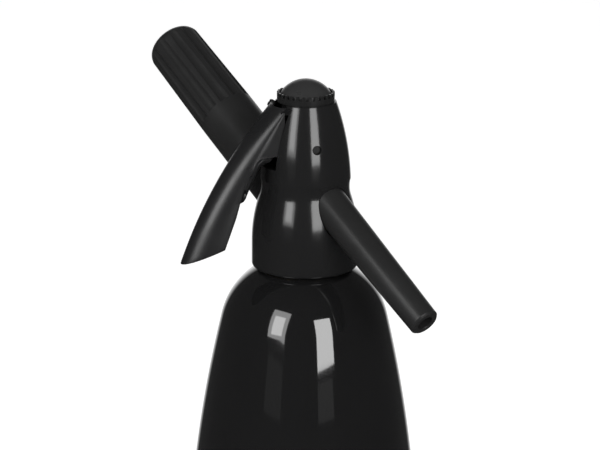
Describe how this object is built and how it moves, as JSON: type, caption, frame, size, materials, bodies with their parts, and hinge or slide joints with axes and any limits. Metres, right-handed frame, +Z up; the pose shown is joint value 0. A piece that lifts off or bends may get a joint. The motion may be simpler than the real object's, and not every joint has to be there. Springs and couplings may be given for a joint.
{
  "type": "soda siphon",
  "caption": "Soda siphon: tall lacquered bottle, screw-on head with squeeze lever, drooping spout and a fluted charger holder opposite it.",
  "frame": {"origin": "centre of the flat base, on the bottle's axis", "axes": "+Z up along the bottle, +X along the spout as seen from above; the charger holder is toward -X and the lever points 110 degrees clockwise from +X, seen from above"},
  "size_m": [0.1836, 0.1075, 0.2939],
  "materials": {
    "bottle_lacquer": "gloss",
    "head_plastic": "gloss",
    "lever_plastic": "satin",
    "grip_plastic": "satin",
    "cap_ring_plastic": "gloss",
    "rubber_black": "matte",
    "rubber_seal": "matte",
    "valve_brass": "satin",
    "steel_pins": "satin",
    "steel_spring": "satin",
    "charger_steel": "satin",
    "riser_plastic": "satin"
  },
  "bodies": {
    "bottle": {"bottle": "bottle_lacquer", "base_ring": "rubber_black"},
    "neck_seal": {"head_gasket": "rubber_seal"},
    "head": {"head_housing": "head_plastic", "valve_body": "valve_brass", "riser_tube": "riser_plastic", "riser_seal": "rubber_seal", "riser_nut": "valve_brass", "seal_washer": "riser_plastic", "stem_seal": "rubber_seal", "stem_gland": "valve_brass", "top_cap": "head_plastic", "cap_ring": "cap_ring_plastic", "lever_pin": "steel_pins", "spout": "grip_plastic", "spout_nipple": "valve_brass", "spout_seal": "rubber_seal", "charger_socket": "valve_brass", "socket_seal": "rubber_seal", "piercing_pin": "steel_pins", "charger_seal": "rubber_seal", "check_spring": "steel_spring", "check_plug": "valve_brass", "relief_spring": "steel_spring", "relief_cap": "valve_brass", "valve_spring": "steel_spring"},
    "lever": {"lever": "lever_plastic"},
    "valve_stem": {"valve_stem": "steel_pins", "valve_disc": "rubber_seal"},
    "charger": {"gas_charger": "charger_steel"},
    "charger_holder": {"charger_holder": "grip_plastic", "holder_liner": "valve_brass"},
    "check_ball": {"check_ball": "steel_pins"},
    "relief_poppet": {"relief_poppet": "valve_brass"}
  },
  "joints": [
    {"name": "head_lift", "type": "slide", "parent": "bottle", "child": "neck_seal", "axis": [0, 0, 1], "range_m": [0, 0.009]},
    {"name": "head_turn", "type": "hinge", "parent": "neck_seal", "child": "head", "pos_m": [0, 0, 0.2], "axis": [0, 0, 1], "range_deg": [0, 1082]},
    {"name": "lever_press", "type": "hinge", "parent": "head", "child": "lever", "pos_m": [-0.00051, -0.00141, 0.257], "axis": [0.9397, -0.342, 0], "range_deg": [0, 15], "stiffness_Nm_per_rad": 0.4, "springref_deg": -17.19},
    {"name": "stem_lift", "type": "slide", "parent": "head", "child": "valve_stem", "axis": [0, 0, 1], "range_m": [0, 0.0017], "deforming": ["valve_spring"]},
    {"name": "charger_slide", "type": "slide", "parent": "head", "child": "charger", "axis": [-0.8415, 0, 0.5402], "range_m": [0, 0.012]},
    {"name": "holder_turn", "type": "hinge", "parent": "charger", "child": "charger_holder", "pos_m": [0, 0, 0.2234], "axis": [-0.8415, 0, 0.5402], "range_deg": [0, 1442.2]},
    {"name": "check_ball_lift", "type": "slide", "parent": "head", "child": "check_ball", "axis": [0, 0, -1], "range_m": [0, 0.0008], "stiffness_N_per_m": 60, "springref_m": -0.0005, "deforming": ["check_spring"]},
    {"name": "relief_lift", "type": "slide", "parent": "head", "child": "relief_poppet", "axis": [0, 1, 0], "range_m": [0, 0.0008], "stiffness_N_per_m": 400, "springref_m": -0.001, "deforming": ["relief_spring"]}
  ],
  "couplings": [
    {"joint": "head_turn", "follows": "head_lift", "rad_per_m": 2094.4},
    {"joint": "holder_turn", "follows": "charger_slide", "rad_per_m": 2094.4},
    {"joint": "lever_press", "follows": "stem_lift", "rad_per_m": 153.85}
  ]
}
